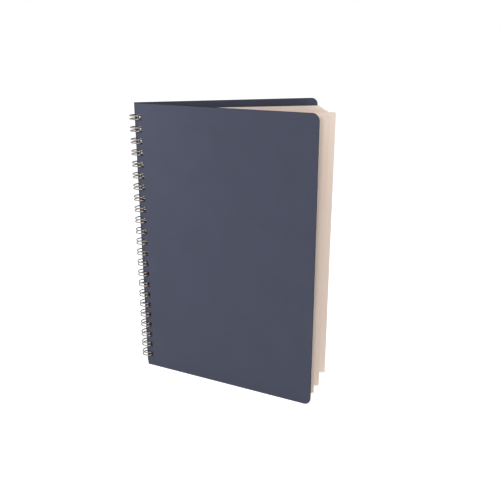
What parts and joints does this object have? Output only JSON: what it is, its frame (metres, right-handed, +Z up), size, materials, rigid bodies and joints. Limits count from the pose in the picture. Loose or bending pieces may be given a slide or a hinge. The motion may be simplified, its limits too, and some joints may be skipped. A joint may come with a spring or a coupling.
{
  "type": "spiral notebook",
  "caption": "Wire-bound notebook standing upright and fanned open, with stiff card covers, cream sheets and twin-loop wire along the spine.",
  "frame": {"origin": "on the ground under the middle of the notebook's bounding box", "axes": "+Z up along the spine, +X from the spine towards the fore edge, +Y from the front cover towards the back cover"},
  "size_m": [0.1458, 0.103, 0.206],
  "materials": {
    "cover_card": "matt slate-blue card with a fine grain",
    "paper": "uncoated cream paper",
    "wire": "bright drawn wire"
  },
  "bodies": {
    "binding": {"wire_binding": "wire", "page_block": "paper"},
    "front": {"front_cover": "cover_card"},
    "back": {"back_cover": "cover_card"}
  },
  "joints": [
    {"name": "front_hinge", "type": "hinge", "parent": "binding", "child": "front", "pos_m": [-0.06802, 0.01111, 0.103], "axis": [0, 0, 1], "range_deg": [-150, 4]},
    {"name": "back_hinge", "type": "hinge", "parent": "binding", "child": "back", "pos_m": [-0.06794, 0.01353, 0.103], "axis": [0, 0, 1], "range_deg": [-2, 95]}
  ]
}
